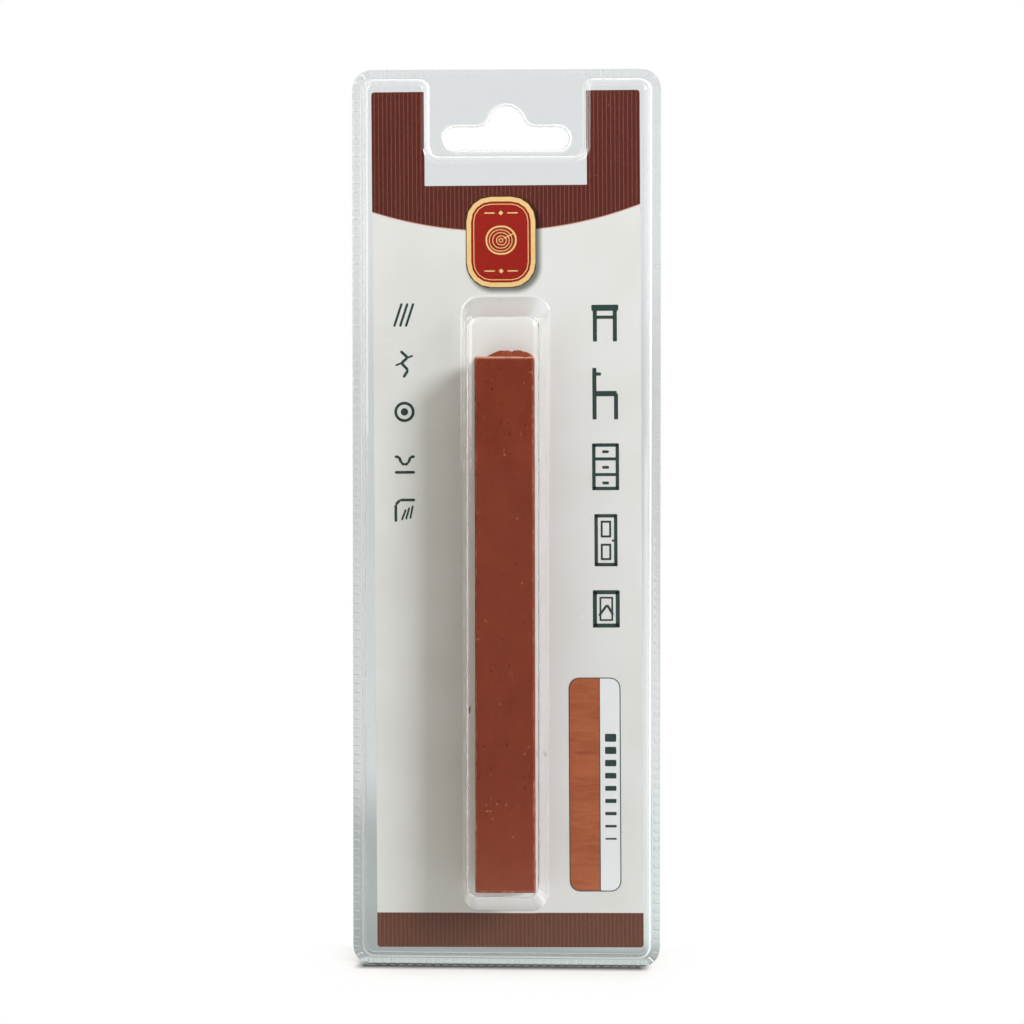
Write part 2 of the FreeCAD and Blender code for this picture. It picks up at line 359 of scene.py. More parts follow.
lightSettings = {
    "target": (0, 0, 0.115),
    # each lamp's turn, rise and distance from the target, then its size, power and colour
    "key": (51.5, 26.0, 1.3, (0.4, 0.45), 15.7, (0.98, 1.0, 1.07)),
    "overhead": (4.0, 64.0, 0.42, (0.35, 0.2), 0.5, (1.0, 1.0, 1.0)),
    "fill": (-60.0, 35.0, 1.5, (0.7, 0.9), 1.9, (1.0, 0.83, 0.6)),
    "behind": (205.0, 32.0, 1.4, (0.8, 0.8), 9.0, (1.0, 1.0, 1.0)),
    "ambient": 0.25, "ambientColour": (1.0, 0.82, 0.47, 1.0), "frontRoom": 0.03, "sideRoom": 2.6,
    "floorRadius": 6.0, "floorColour": (0.86, 0.86, 0.86, 1.0), "paintedContactShadeColour": (0.05, 0.047, 0.045, 1.0),
    "bounce": 0.8, "gloom": (0.08, 0.34), "shadowHalving": 6.5,
    # the strip of floor under the pack, in metres: its edges, its middle and half its width
    "stripFront": 0.0062, "stripBack": 0.0083, "stripMiddle": -0.001, "stripHalf": 0.0355,
    # where the painted shadow at the pack's foot fades out, in millimetres, and how much faster all shadow fades
    # sideways
    "paintedShadeAhead": (7.0, 1.5), "paintedShadeBeside": (3.5, 0.5), "sideFade": 2.6,
    # painted light and shade: how bright the floor and the room behind the pack look through its films, darker where
    # the pack's shadow falls: (distance in metres, level)
    "behindLevels": ((0.0, 0.12), (0.0025, 0.12), (0.0045, 0.8), (0.01, 0.78), (0.014, 0.48), (0.03, 0.46),
                     (0.14, 0.57), (0.24, 0.57), (0.5, 0.88), (1.6, 0.84), (3.0, 0.8)),
    # painted light lifts the floor behind on the right, and a painted greenish shade tints it near the pack
    "paintedLightRight": 0.4, "horizon": 0.82, "paintedShadeTint": (0.93, 1.0, 0.97, 1.0),
}


def addLamp(name, turn, rise, distance, size, power, tint):
    data = bpy.data.lights.new(name, "AREA")
    data.shape = "RECTANGLE"
    data.size, data.size_y = size
    data.energy = power
    data.color = tint
    return aimFrom(addObject(name, data), turn, rise, distance, lightSettings["target"])


def straightThrough(path):
    # 1 for a ray from the camera that has only passed through the films
    direct = maths("LESS_THAN", plus(path["Glossy Depth"], path["Diffuse Depth"]), 0.5)
    return times(path["Is Transmission Ray"], direct)


def makeWorld(settings):
    world = bpy.data.worlds.new("studio")
    bpy.context.scene.world = world
    world.use_nodes = True
    tree = world.node_tree
    tree.nodes.clear()
    direction = splitUp(addNode(tree, "TexCoord").outputs["Generated"])
    path = addNode(tree, "LightPath").outputs
    # the room that reflections see: dark in front, bright at the sides and white behind
    room = ramp(direction["Y"], -0.968, -0.85, settings["frontRoom"], settings["sideRoom"])
    aside = minus(ramp(direction["X"], -0.2, -0.5, 0.2, 1.0), ramp(direction["X"], 0.2, 0.5, 0.0, -0.15))
    room = times(room, times(aside, ramp(direction["Y"], -0.45, -0.2, 1.0, 0.3)))
    horizon = ramp(direction["Z"], -0.01, 0.035, settings["horizon"], 1.0)
    backwards = larger(ramp(direction["Y"], -0.05, 0.15), straightThrough(path))
    level = blendValue(backwards, room, horizon)
    bounced = larger(path["Is Glossy Ray"], path["Is Transmission Ray"])
    skies = ((settings["ambientColour"], settings["ambient"]), (plainWhite, level), (plainWhite, 1.0))
    dim, mirrored, white = (addNode(tree, "Background", {"Color": tint, "Strength": strength}).outputs[0]
                            for tint, strength in skies)
    seen = mixShaders(path["Is Camera Ray"], mixShaders(bounced, dim, mirrored), white)
    addNode(tree, "OutputWorld", {"Surface": seen})


def makeFloor(settings):
    bm = bmesh.new()
    bmesh.ops.create_circle(bm, cap_ends=True, radius=settings["floorRadius"], segments=64)
    material, tree, shader = newMaterial("studioFloor", Base_Color=settings["floorColour"], Roughness=0.7,
                                         Specular_IOR_Level=0.2)
    place = splitUp(addNode(tree, "TexCoord").outputs["Object"])
    path = addNode(tree, "LightPath").outputs
    # how far a point lies from the strip under the pack, in millimetres in front of it and beside it
    ahead = larger(times(minus(settings["stripFront"], place["Y"]), 1 / millimetre), 0)
    fromMiddle = maths("ABSOLUTE", minus(place["X"], settings["stripMiddle"]))
    beside = larger(times(minus(fromMiddle, settings["stripHalf"]), 1 / millimetre), 0)
    reach = plus(ahead, times(beside, settings["sideFade"]))
    away = minus(1.0, maths("POWER", 0.5, maths("DIVIDE", reach, settings["shadowHalving"])))
    away = larger(away, ramp(place["Y"], 0.012, 0.045))
    # painted shadow: the floor's own colour is darkened at the pack's foot
    paintedContactShade = times(ramp(ahead, *settings["paintedShadeAhead"]), ramp(beside, *settings["paintedShadeBeside"]))
    # seen through the films, the floor behind has a soft run of painted shade for the pack's shadow, lifted by painted
    # light on the right
    level = settings["behindLevels"][0][1]
    for (near, dark), (far, light) in zip(settings["behindLevels"], settings["behindLevels"][1:]):
        if light != dark:
            near, far = settings["stripBack"] + near, settings["stripBack"] + far
            level = plus(level, ramp(place["Y"], near, far, 0.0, light - dark))
    lift = times(ramp(place["X"], 0.0, 0.03), ramp(place["Y"], 0.02, 0.065))
    level = plus(level, times(lift, settings["paintedLightRight"]), clamp=True)
    bounced = larger(path["Is Transmission Ray"], path["Is Glossy Ray"])
    back = times(bounced, maths("GREATER_THAN", place["Y"], 0.008))
    shares = plus(times(away, path["Is Camera Ray"]),
                  plus(bounced, times(path["Is Diffuse Ray"], settings["bounce"])))
    feed(shader, Base_Color=blendColour(paintedContactShade, settings["floorColour"], settings["paintedContactShadeColour"]))
    # painted shade: the floor in front looks dim to rays that reach it by reflection
    gloom = times(ramp(place["Y"], -0.3, -0.03, *settings["gloom"]), minus(1.0, paintedContactShade))
    gloom = blendValue(straightThrough(path), gloom, settings["horizon"])
    strength = blendValue(back, blendValue(bounced, 1.0, gloom), level)
    # painted shade tint on the floor just behind the pack
    near = times(back, ramp(place["Y"], 0.6, 0.1))
    tint = blendColour(near, plainWhite, settings["paintedShadeTint"])
    white = nodeFrom("Emission", {"Color": tint, "Strength": strength})[0]
    useSurface(tree, mixShaders(shares, shader.outputs[0], white))
    floor = meshObject("floor", bm, material)


for lampName in ("key", "overhead", "fill", "behind"):
    lamp = addLamp(lampName, *lightSettings[lampName])
    lamp.visible_glossy = lamp.visible_transmission = lampName in ("key", "fill")
makeWorld(lightSettings)
makeFloor(lightSettings)
bpy.context.scene.view_settings.view_transform = "Standard"
print("light and floor ready")


# Clear films

filmFinish = {
    "tint": (0.915, 0.93, 0.933, 1.0), "stretchedTint": (0.98, 0.998, 1.0, 1.0), "stretched": (3.0, 9.0),
    "roughness": 0.05, "scratchRoughness": 0.3, "topRoughness": 0.42,
    "topWall": ((166.2, 167.4), (2.8, 3.6)),  # the pocket's dull top wall: where it starts in z and in height
    "ior": 1.5, "shadowTint": (0.96, 0.965, 0.965, 1.0), "waveHeight": 0.00002,
    "deepest": 6.0,  # bounces after which a ray goes straight on
    "hazeAndPaintedSheen": (0.0, 0.08, 0.3, 0.48, 0.66),  # each share of haze and painted sheen has its own material
}
# where the drawn film is milky: its own haze, raised as painted sheen where the walls should look bright, most of all
# at the foot of the pocket and on its left, and on the hang hole's rim
hazeAndPaintedSheenShape = {
    "pocket": 0.2, "right": -0.12, "up": -0.7, "tray": 0.14, "rim": 0.5, "rimBand": (0.5, 1.1),
    "steepTray": 0.93, "steepPocket": 0.72, "steepest": 0.2, "pocketFrom": 3.5,
}


def makeFilmMaterial(finish, hazeAndPaintedSheen):
    material, tree, shader = newMaterial("clearFilm" + str(round(hazeAndPaintedSheen * 100)), IOR=finish["ior"],
                                         Transmission_Weight=1.0 - hazeAndPaintedSheen)
    place = objectMillimetres(tree)
    parts = splitUp(place)
    height = minus(weldY, parts["Y"])
    thinned = ramp(height, *finish["stretched"])  # the film is drawn thinner and clearer up the pocket's walls
    clouds = useGroup(mottle, Vector=place, Broad_Scale=0.12, Fine_Scale=0.9)
    scratches = useGroup(hairlines, Vector=place, Scale=0.09, Share=0.25, Width=0.004)
    dull = ramp(clouds["Fine"], 0.2, 0.9, finish["roughness"] * 0.6, finish["roughness"] * 1.6)
    worn = blendValue(scratches["Mask"], dull, finish["scratchRoughness"])
    fromZ, fromHeight = finish["topWall"]
    onTop = times(ramp(parts["Z"], *fromZ), ramp(height, *fromHeight))
    feed(shader, Base_Color=blendColour(thinned, finish["tint"], finish["stretchedTint"]),
         Roughness=blendValue(onTop, worn, finish["topRoughness"]))
    addBump(shader, clouds["Broad"], 1.0, finish["waveHeight"])
    path = addNode(tree, "LightPath").outputs
    trapped = maths("GREATER_THAN", path["Ray Depth"], finish["deepest"])
    passing = larger(trapped, larger(path["Is Shadow Ray"], path["Is Diffuse Ray"]))
    clear = addNode(tree, "BsdfTransparent", {"Color": finish["shadowTint"]}).outputs[0]
    useSurface(tree, mixShaders(passing, shader.outputs[0], clear))
    return material


def hazeAndPaintedSheenAt(shape, height, normal):
    # how milky the film is at a height, on a wall that faces a direction: haze, with painted sheen that follows the way
    # the wall faces
    inPocket = height > shape["pocketFrom"]
    gentle = shape["steepPocket" if inPocket else "steepTray"]
    steep = asShare((gentle - abs(normal.y)) / (gentle - shape["steepest"]))
    if inPocket:
        # painted sheen: more on left and downward faces, less on upward ones
        hazeAndPaintedSheen = shape["pocket"] + normal.x * shape["right"] + normal.z * shape["up"]
    else:
        hazeAndPaintedSheen = (1 - abs(normal.z)) * shape["tray"]
    low, high = shape["rimBand"]
    return max(hazeAndPaintedSheen * steep * steep * (3 - 2 * steep), shape["rim"] * (low < height < high))


def spreadHazeAndPaintedSheen(piece, shape, films):
    for film in list(films.values())[1:]:
        piece.data.materials.append(film)
    shares = list(films)
    for face in piece.data.polygons:
        hazeAndPaintedSheen = hazeAndPaintedSheenAt(shape, weldY - face.center.y / millimetre, face.normal)
        face.material_index = min(range(len(shares)), key=lambda index: abs(shares[index] - hazeAndPaintedSheen))


packShape = {
    "width": 79.0, "height": 230.0, "cornerRadius": 5.0,
    "frontFilm": 0.4, "backFilm": 0.35, "weldGap": 0.02,
    "crimpLip": 0.16, "crimpBand": 1.48, "crimpPitch": 2.3, "crimpRise": 0.07,
    "arcSteps": 10,
}
trayShape = {
    "border": 2.0, "height": 2.6, "draft": 33.0, "cornerRadius": 3.6, "footRound": 0.4, "edgeRound": 1.4,
    "notchWidth": 38.8, "notchFloor": 208.3, "notchFloorRadius": 2.2, "notchMouthRadius": 3.0, "rimTop": 1.05,
}
pocketShape = {
    "halfWidth": 9.005, "bottom": 20.0, "top": 166.7, "height": 16.2, "sideDraft": 8.6, "endDraft": 22.0,
    "footRadius": 4.5, "faceRadius": 3.0, "footRound": 0.8, "edgeRound": 1.8,
}
hangShape = {
    "width": 32.0, "height": 5.8, "floor": 209.5, "humpRise": 5.4, "humpRadius": 4.4, "blendRadius": 3.4,
    "rim": ((1.02, 0.0), (0.92, 0.03), (0.8, 0.14), (0.66, 0.31), (0.46, 0.4), (0.26, 0.36), (0.1, 0.22), (0.0, 0.08)),
}


def hangCorners(shape, grow):
    # the hang hole grown by an offset: a slot with a hump whose sides are blended
    spacing = shape["humpRadius"] + shape["blendRadius"]
    slope = math.asin((shape["blendRadius"] - (shape["humpRise"] - shape["humpRadius"])) / spacing)
    turn = math.tan((math.pi / 2 - slope) / 2)
    halfWidth = shape["width"] / 2 + grow
    low = shape["floor"] - grow
    shoulder = shape["floor"] + shape["height"] + grow
    hump, blend = shape["humpRadius"] + grow, shape["blendRadius"] - grow
    footX = spacing * math.cos(slope) - blend * turn
    end = shape["height"] / 2 + grow
    right = [(halfWidth, low, end), (halfWidth, shoulder, end), (footX, shoulder, blend),
             (hump * turn, shoulder + shape["humpRise"], hump)]
    left = [(-x, z, r) for x, z, r in reversed(right)]
    return right + left


def crimpRing(bm, face, shape):
    # the welded band: cells pressed up along the edge of the pack
    for edge in [edge for edge in face.edges if edge.calc_length() > 20]:
        span = edge.verts[0].co - edge.verts[1].co
        side = shape["height" if abs(span.z) > abs(span.x) else "width"]
        cells = round((side - 2 * shape["cornerRadius"]) / shape["crimpPitch"]) * 2
        bmesh.ops.subdivide_edges(bm, edges=[edge], cuts=cells - 1)
    lip, band = shape["crimpLip"], shape["crimpBand"]
    stepIn(bm, face, [(0, 0), (lip, 0)])
    before = set(bm.faces)
    stepIn(bm, face, [(0, 0), (band, 0)])
    cells = [f for f in bm.faces if f not in before]
    stepIn(bm, face, [(0, 0), (lip, 0)])
    middle = shape["height"] / 2
    cells.sort(key=lambda f: math.atan2(f.calc_center_median().z - middle, f.calc_center_median().x))
    raised = cells[::2]
    bmesh.ops.inset_individual(bm, faces=raised, thickness=lip, depth=shape["crimpRise"] * 0.8)
    dice = random.Random(3)
    for cell in raised:
        bmesh.ops.translate(bm, verts=cell.verts[:], vec=(0, -dice.uniform(0, shape["crimpRise"] * 0.2), 0))


def wallInset(height, shape, low, draft):
    # how far the pocket's rounded wall stands in from its foot line at a height
    turn = math.radians(90 - draft)
    rise = shape["height"] - low
    total = rise * math.tan(math.radians(draft))
    foot, edge = shape["footRound"], shape["edgeRound"]
    if height - low <= foot * (1 - math.cos(turn)):
        c = 1 - (height - low) / foot
        return -foot * math.tan(turn / 2) + foot * math.sqrt(max(0, 1 - c * c))
    if shape["height"] - height <= edge * (1 - math.cos(turn)):
        c = 1 - (shape["height"] - height) / edge
        return total + edge * math.tan(turn / 2) - edge * math.sqrt(max(0, 1 - c * c))
    return (height - low) * math.tan(math.radians(draft))


def pocketRings(bm, shape, low):
    # the pocket as rings that rise from the tray's face, its sides and ends drawn in by their own drafts
    turn = math.radians(90 - shape["sideDraft"])
    foot = [low + shape["footRound"] * (1 - math.cos(turn * k / 7)) for k in range(8)]
    edge = [shape["height"] - shape["edgeRound"] * (1 - math.cos(turn * k / 12)) for k in range(12, -1, -1)]
    middle = [foot[-1] + (edge[0] - foot[-1]) * k / 4 for k in range(1, 4)]
    rise = shape["height"] - low
    straightSide = math.tan(math.radians(shape["sideDraft"]))

    def ring(height):
        side = wallInset(height, shape, low, shape["sideDraft"])
        end = wallInset(height, shape, low, shape["endDraft"])
        share = (height - low) / rise
        radius = shape["footRadius"] + (shape["faceRadius"] - shape["footRadius"]) * share
        return side, end, radius - (side - (height - low) * straightSide)

    heights = foot + middle + edge
    side, end, radius = ring(heights[0])
    halfFoot = shape["halfWidth"] + rise * straightSide
    endRun = rise * math.tan(math.radians(shape["endDraft"]))
    bottom, top = shape["bottom"] - endRun, shape["top"] + endRun
    centreZ = (bottom + top) / 2
    old = set(bm.faces)
    margin = 0.4
    face = outlineFace(bm, rectangle(-halfFoot + side - margin, halfFoot - side + margin, bottom + end - margin,
                                     top - end + margin, radius + margin), low, 10)
    stepIn(bm, face, [(0, low), (margin, low)])
    for height, nextHeight in zip(heights, heights[1:]):
        nextSide, nextEnd, nextRadius = ring(nextHeight)
        shrink = radius - nextRadius
        bmesh.ops.inset_region(bm, faces=[face], use_boundary=True, use_even_offset=True, thickness=shrink,
                               depth=nextHeight - height)
        for signX in (-1, 1):
            for signZ in (-1, 1):
                quarter = [v for v in face.verts if v.co.x * signX > 0 and (v.co.z - centreZ) * signZ > 0]
                shift = (-signX * (nextSide - side - shrink), 0, -signZ * (nextEnd - end - shrink))
                bmesh.ops.translate(bm, verts=quarter, vec=shift)
        side, end, radius = nextSide, nextEnd, nextRadius
    return openEdges(bm, old)


def trayRings(bm, pack, tray, low):
    # the raised tray with its notch, from the flange up to its flat face
    lead = 0.24
    foot = low * math.tan(math.radians(tray["draft"]))
    start = tray["border"] + foot - lead
    offset = foot - lead
    arm = [(pack["width"] / 2 - start, pack["height"] - start, tray["cornerRadius"] - offset),
           (tray["notchWidth"] / 2 + offset, pack["height"] - start, tray["notchMouthRadius"] - offset),
           (tray["notchWidth"] / 2 + offset, tray["notchFloor"] - offset, tray["notchFloorRadius"] + offset)]
    corners = [(-arm[0][0], start, arm[0][2]), (arm[0][0], start, arm[0][2])] + arm
    corners += [(-x, z, r) for x, z, r in reversed(arm)]
    old = set(bm.faces)
    face = outlineFace(bm, corners, low, pack["arcSteps"])
    rise = tray["height"] - low
    across = rise * math.tan(math.radians(tray["draft"]))
    top = tray["height"]
    path = roundedProfile([(0, low), (lead, low), (lead + across, top), (lead + across + 1.0, top)],
                          (tray["footRound"], tray["edgeRound"]), 7)
    wallFoot, wallTop = Vector(path[8]), Vector(path[9])
    path.insert(9, tuple(wallFoot.lerp(wallTop, (tray["rimTop"] - wallFoot.y) / (wallTop.y - wallFoot.y))))
    stepIn(bm, face, path)
    return openEdges(bm, old), face


def startFilm(pack, low):
    # a film's welded band, and the edges round the gap inside it
    bm = bmesh.new()
    half = pack["width"] / 2
    flange = outlineFace(bm, rectangle(-half, half, 0, pack["height"], pack["cornerRadius"]), low, 6)
    crimpRing(bm, flange, pack)
    return bm, dropFace(bm, flange)


def makeFrontFilm(pack, tray, pocket, hang, films):
    low = pack["frontFilm"]
    bm, flangeEdges = startFilm(pack, low)
    trayEdges, trayTop = trayRings(bm, pack, tray, low)
    grow = hang["rim"][0][0]
    old = set(bm.faces)
    hole = outlineFace(bm, hangCorners(hang, grow), low, 8)
    stepIn(bm, hole, [(grow - reach, rise) for reach, rise in hang["rim"]])
    holeEdges = openEdges(bm, old)
    dropFace(bm, hole)
    fillBetween(bm, flangeEdges, trayEdges, holeEdges)
    topEdges = dropFace(bm, trayTop)
    pocketEdges = pocketRings(bm, pocket, tray["height"])
    fillBetween(bm, topEdges, pocketEdges)
    piece = finishPiece("frontFilm", bm, films[0.0], "pack", 14, faceFront=True)
    spreadHazeAndPaintedSheen(piece, hazeAndPaintedSheenShape, films)
    addModifier(piece, "SOLIDIFY", thickness=(pack["frontFilm"] - pack["weldGap"] / 2) * millimetre, offset=-1,
                use_even_offset=True)
    addModifier(piece, "WEIGHTED_NORMAL", keep_sharp=True, weight=50)
    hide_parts("front_shell")
    return piece


def makeBackFilm(pack, hang, material):
    low = -pack["weldGap"] / 2
    bm, flangeEdges = startFilm(pack, low)
    hole = outlineFace(bm, hangCorners(hang, 0.0), low, 8)
    fillBetween(bm, flangeEdges, dropFace(bm, hole))
    piece = finishPiece("backFilm", bm, material, "pack", 14, faceFront=True)
    addModifier(piece, "SOLIDIFY", thickness=(pack["backFilm"] - pack["weldGap"] / 2) * millimetre, offset=-1)
    addModifier(piece, "WEIGHTED_NORMAL", keep_sharp=True, weight=50)
    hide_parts("back_shell")
    return piece


clearFilms = {hazeAndPaintedSheen: makeFilmMaterial(filmFinish, hazeAndPaintedSheen) for hazeAndPaintedSheen in filmFinish["hazeAndPaintedSheen"]}
makeFrontFilm(packShape, trayShape, pocketShape, hangShape, clearFilms)
makeBackFilm(packShape, hangShape, clearFilms[0.0])
print("films made")


# Card

cardShape = {
    "width": 68.6, "bottom": 5.0, "top": 224.5, "thickness": 0.45, "back": 0.15, "cornerRadius": 0.8,
    "notchWidth": 41.5, "notchFloor": 200.5, "notchRadius": 0.2, "shift": 0.4, "lean": 0.35,
    "inkDepth": 0.07, "edge": ((0, 0), (0.02, 0.035), (0.07, 0.05)),  # the pressed edge: inset, rise
}
printSettings = {
    "field": colour(229, 229, 227), "fieldShade": colour(223, 222, 218), "backBoard": colour(186, 181, 170),
    "brown": colour(94, 44, 37), "brownDeep": colour(84, 37, 32), "brownLine": colour(134, 80, 66),
    "brownFoot": colour(99, 57, 37),
    "stripePitch": 1.08, "stripeWidth": 0.2, "edgeLine": colour(206, 132, 104),
    "arcX": -2.15, "arcLow": 188.94, "arcRadius": 104.0, "footerTop": 13.9,
    "dust": colour(206, 190, 178), "shadow": colour(92, 98, 92),
    "inkLift": 0.012, "overprint": 0.004,  # an ink's lift off the board, and of one ink over another
}
plaqueShape = {
    "x": -1.29, "z": 186.07, "width": 17.6, "height": 23.0, "cornerRadius": 6.2, "border": 1.15,
    "red": colour(166, 38, 28), "redDeep": colour(140, 30, 24), "gold": colour(236, 178, 66),
    "goldPale": colour(238, 222, 178), "shadowX": 0.75, "shadowZ": -0.75, "shadowSoft": 1.5,
    "outline": (colour(70, 44, 30), colour(96, 62, 40)), "outlineWidth": 0.22, "innerFrame": (1.75, 0.2),
    # growth rings: radius and line; then the crack: two ends from the middle and its line
    "rings": ((0.55, 0.2), (1.25, 0.2), (2.05, 0.2), (2.8, 0.2), (3.7, 0.42)), "crack": (0.7, 0.9, 3.5, 2.3, 0.24),
    # a diamond between two dashes above and below the rings: distance, half diamond, dash from, to and line
    "diamond": (7.4, 0.62, 1.6, 4.3, 0.3),
}
inkSettings = {"green": colour(42, 62, 58), "greenPale": colour(56, 76, 72)}


def cardMiddle(shape):
    return (shape["shift"], (shape["bottom"] + shape["top"]) / 2)


def leanCard(bm, shape):
    # from the card's own upright place to its shifted and leaned place in the tray
    x, z = cardMiddle(shape)
    bmesh.ops.translate(bm, verts=bm.verts[:], vec=(x, 0, 0))
    turnUpright(bm, bm.verts[:], -shape["lean"], (x, 0, z))


def cardPlace(tree, card):
    # card coordinates in millimetres: x from the card's middle, z from the pack's foot
    x, z = cardMiddle(card)
    return vectorMaths("ADD", 0, objectMillimetres(tree, card["lean"], (x, 0, z)), (0, 0, z))


def overhang(value, limit):
    # how far a value lies past a limit on either side of 0
    return larger(minus(maths("ABSOLUTE", value), limit), 0)


def makeCardMaterial(card, ink, plaque):
    material, tree, shader = newMaterial("printedBoard", Specular_IOR_Level=0.12)
    place = cardPlace(tree, card)
    across, depth, up = splitUp(place)
    clouds = useGroup(mottle, Vector=place, Broad_Scale=0.05, Fine_Scale=2.6)
    arcCentre = (ink["arcX"], ink["arcLow"] + ink["arcRadius"], 0)
    fromArc = vectorMaths("DISTANCE", "Value", joinUp(across, up), arcCentre)
    header = ramp(fromArc, ink["arcRadius"] + 0.05, ink["arcRadius"] - 0.05)
    footer = ramp(up, ink["footerTop"] + 0.05, ink["footerTop"] - 0.05)
    band = larger(header, footer)
    beat = maths("FRACT", maths("DIVIDE", plus(across, 100), ink["stripePitch"]))
    fromLine = times(maths("ABSOLUTE", minus(beat, 0.5)), ink["stripePitch"])
    stripe = ramp(fromLine, ink["stripeWidth"] / 2 + 0.04, ink["stripeWidth"] / 2 - 0.04)
    broken = times(stripe, ramp(clouds["Fine"], 0.1, 0.8, 0.45, 1.0))
    ground = blendColour(clouds["Fine"], ink["brownDeep"], ink["brown"])
    ground = blendColour(footer, ground, ink["brownFoot"])
    brown = blendColour(broken, ground, ink["brownLine"])
    near = maths("ABSOLUTE", minus(fromArc, ink["arcRadius"] + 0.12))
    line = times(ramp(near, 0.2, 0.05), 0.75)
    field = blendColour(clouds["Broad"], ink["fieldShade"], ink["field"])
    radius = plaque["cornerRadius"]  # the medallion's printed shadow
    boxX = overhang(minus(across, plaque["x"] + plaque["shadowX"]), plaque["width"] / 2 - radius)
    boxZ = overhang(minus(up, plaque["z"] + plaque["shadowZ"]), plaque["height"] / 2 - radius)
    fromBox = vectorMaths("LENGTH", "Value", joinUp(boxX, boxZ))
    shadow = times(ramp(fromBox, radius + plaque["shadowSoft"], radius - 0.4), 0.85)
    printed = blendColour(line, field, ink["edgeLine"])
    printed = blendColour(band, printed, brown)
    printed = blendColour(shadow, printed, ink["shadow"], "MULTIPLY")
    dots = useGroup(specks, Vector=place, Scale=0.42, Share=0.2, Size=0.11)
    printed = blendColour(times(dots["Mask"], times(band, 0.6)), printed, ink["dust"])
    inkedFrom = weldY - card["back"] - card["thickness"] + card["inkDepth"]  # the cut edge and the back are bare
    front = maths("LESS_THAN", depth, inkedFrom)
    paleBoard = [dark * 0.65 + light * 0.35 for dark, light in zip(ink["backBoard"], ink["field"])]
    board = blendColour(clouds["Fine"], ink["backBoard"], paleBoard)
    varnish = ramp(clouds["Broad"], 0, 1, 0.44, 0.52)
    feed(shader, Base_Color=blendColour(front, board, printed), Roughness=blendValue(front, 0.85, varnish))
    addBump(shader, clouds["Fine"], 0.25, 0.00002)
    return material


def makeCard(shape, material):
    bm = bmesh.new()
    front = shape["back"] + shape["thickness"]
    half = shape["width"] / 2
    outer, notch, notchRound = shape["cornerRadius"], shape["notchWidth"] / 2, shape["notchRadius"]
    arm = [(half, shape["top"], outer), (notch, shape["top"], notchRound), (notch, shape["notchFloor"], notchRound)]
    corners = [(-half, shape["bottom"], outer), (half, shape["bottom"], outer)]
    corners += arm + [(-x, z, r) for x, z, r in reversed(arm)]
    stepIn(bm, outlineFace(bm, corners, front - shape["edge"][-1][1], 5), shape["edge"])
    leanCard(bm, shape)
    piece = finishPiece("card", bm, material, "card", 10, faceFront=True)
    addModifier(piece, "SOLIDIFY", thickness=(shape["thickness"] - 0.03) * millimetre, offset=-1)
    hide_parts("printed_card")
    return piece


# Print on the card: thin layers of ink, each a closed slab sunk a little into the board

def makeInk(name, dark, pale, card, roughness=0.5):
    material, tree, shader = newMaterial(name, Specular_IOR_Level=0.12)
    clouds = useGroup(mottle, Vector=cardPlace(tree, card), Broad_Scale=0.3, Fine_Scale=3.4)
    feed(shader, Base_Color=blendColour(clouds["Fine"], dark, pale),
         Roughness=ramp(clouds["Broad"], 0, 1, roughness - 0.06, roughness + 0.06))
    addBump(shader, clouds["Fine"], 0.2, 0.00001)
    return material


def makeWoodPrint(name, card, settings):
    # a printed wood sample: bands and pores that run across the card
    material, tree, shader = newMaterial(name, Specular_IOR_Level=0.12, Roughness=0.5)
    place = cardPlace(tree, card)
    bent = cloudNoise(place, 0.12, 1.0, "Color")
    swayed = vectorMaths("MULTIPLY_ADD", 0, bent, (0, 0, 2.4), place)
    bands = useGroup(mottle, Vector=mapped(swayed, Scale=(0.05, 1, 0.42)), Broad_Scale=0.5, Fine_Scale=3.2)
    pores = useGroup(specks, Vector=mapped(swayed, Scale=(0.3, 1, 2.4)), Scale=1.3, Share=0.5, Size=0.42)
    raster = useGroup(mottle, Vector=place, Broad_Scale=1.2, Fine_Scale=4.5)
    base = blendColour(bands["Broad"], settings["woodDark"], settings["wood"])
    for mask, share, tone in ((bands["Fine"], 0.7, "woodPale"), (pores["Mask"], 0.5, "woodDark"),
                              (raster["Fine"], 0.22, "woodPale")):
        base = blendColour(times(mask, share), base, settings[tone])
    feed(shader, Base_Color=base)
    addBump(shader, raster["Fine"], 0.2, 0.00001)
    return material


class InkSheet:
    # gathers flat shapes of one ink, each a hair higher than the last so that none coincide
    hair = 0.0004

    def __init__(self, card, lift):
        self.bm = bmesh.new()
        self.card = card
        self.level = card["back"] + card["thickness"] + lift
        self.count = 0

    def face(self, corners, steps=4):
        self.count += 1
        return outlineFace(self.bm, corners, self.level + self.count * self.hair, steps)

    def bar(self, start, end, width, roundEnds=0.5):
        start, end = Vector(start), Vector(end)
        along = (end - start).normalized()
        side = Vector((-along.y, along.x)) * width / 2
        radius = width * roundEnds * 0.98
        corners = [start - side, end - side, end + side, start + side]
        self.face([(c.x, c.y, radius) for c in corners], 3)

    def line(self, points, width):
        for start, end in zip(points, points[1:]):
            self.bar(start, end, width)

    def frame(self, left, right, bottom, top, radius, width, steps=4):
        face = self.face(rectangle(left, right, bottom, top, radius), steps)
        stepIn(self.bm, face, [(0, 0), (width, 0)])
        dropFace(self.bm, face)

    def ring(self, x, z, radiusX, radiusZ, width):
        self.frame(x - radiusX, x + radiusX, z - radiusZ, z + radiusZ, min(radiusX, radiusZ) * 0.995, width, 9)

    def finish(self, name, material, thickness=0.016):
        bm = self.bm
        leanCard(bm, self.card)
        backs = bmesh.ops.extrude_face_region(bm, geom=bm.faces[:])["geom"]
        bmesh.ops.translate(bm, verts=[g for g in backs if isinstance(g, bmesh.types.BMVert)], vec=(0, thickness, 0))
        return finishPiece(name, bm, material, "card", 30)


